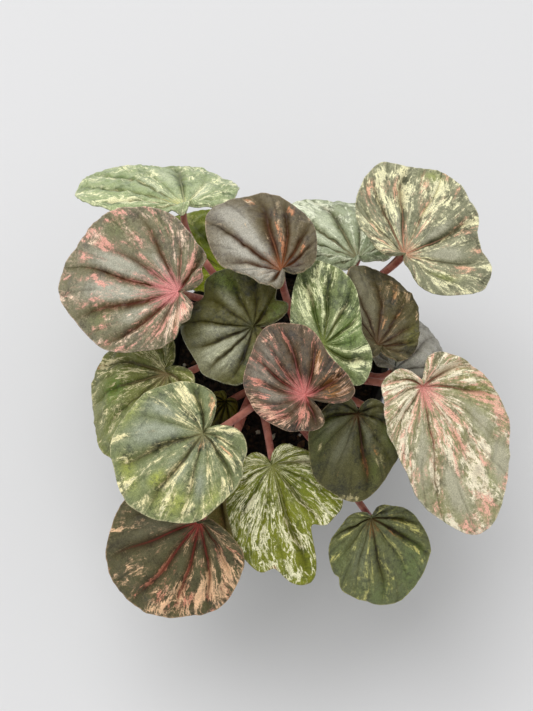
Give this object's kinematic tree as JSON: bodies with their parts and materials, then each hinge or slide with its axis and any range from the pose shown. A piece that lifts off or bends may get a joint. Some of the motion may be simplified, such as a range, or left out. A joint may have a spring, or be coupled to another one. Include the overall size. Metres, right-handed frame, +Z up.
{
  "type": "potted pink lady peperomia",
  "caption": "Small potted foliage plant with round quilted leaves marbled green, cream and pink, on dusty pink stalks, in a plain round black nursery pot.",
  "frame": {"origin": "centre of the pot's flat underside", "axes": "+Z up the pot's axis; -Y towards the pictured front, +X to its right"},
  "size_m": [0.1665, 0.1905, 0.1577],
  "materials": {
    "pot_plastic": "black moulded plastic, satin",
    "potting_mix": "loose dark potting mix, matt",
    "petiole": "smooth fleshy stalk, dusty pink, satin",
    "leaf_pale_green": "quilted leaf, pale grey-green with cream streaks, waxy",
    "leaf_olive_pink": "quilted leaf, olive brown with silver ridges and pink streaks, waxy",
    "leaf_lime": "quilted leaf, yellow-green with cream net, waxy",
    "leaf_cream_pink": "quilted leaf, cream and pink over sage, waxy",
    "leaf_dark_green": "quilted leaf, dark green with sunken veins, waxy",
    "leaf_blue_green": "quilted leaf, blue-grey green with cream streaks, waxy"
  },
  "bodies": {
    "root": {"pot": "pot_plastic", "soil": "potting_mix", "stem_back_left": "petiole", "stem_back_right": "petiole", "stem_front_left": "petiole", "stem_front_right": "petiole", "blade_back_left": "leaf_pale_green", "blade_left_back": "leaf_olive_pink", "blade_back_low": "leaf_lime", "blade_top_back": "leaf_olive_pink", "blade_back": "leaf_pale_green", "blade_back_right": "leaf_pale_green", "blade_middle_left": "leaf_dark_green", "blade_middle_right": "leaf_pale_green", "blade_top_middle": "leaf_olive_pink", "blade_right_folded": "leaf_olive_pink", "blade_right_low": "leaf_dark_green", "blade_front_right": "leaf_cream_pink", "blade_front_middle": "leaf_dark_green", "blade_front_low": "leaf_dark_green", "blade_front_lobed": "leaf_lime", "blade_front_left": "leaf_blue_green", "blade_left": "leaf_lime", "blade_front_left_low": "leaf_olive_pink", "blade_young": "leaf_dark_green", "blade_skirt_back": "leaf_dark_green", "blade_skirt_left": "leaf_dark_green", "blade_skirt_right": "leaf_dark_green", "blade_skirt_front": "leaf_dark_green", "blade_skirt_back_right": "leaf_dark_green"}
  },
  "joints": []
}
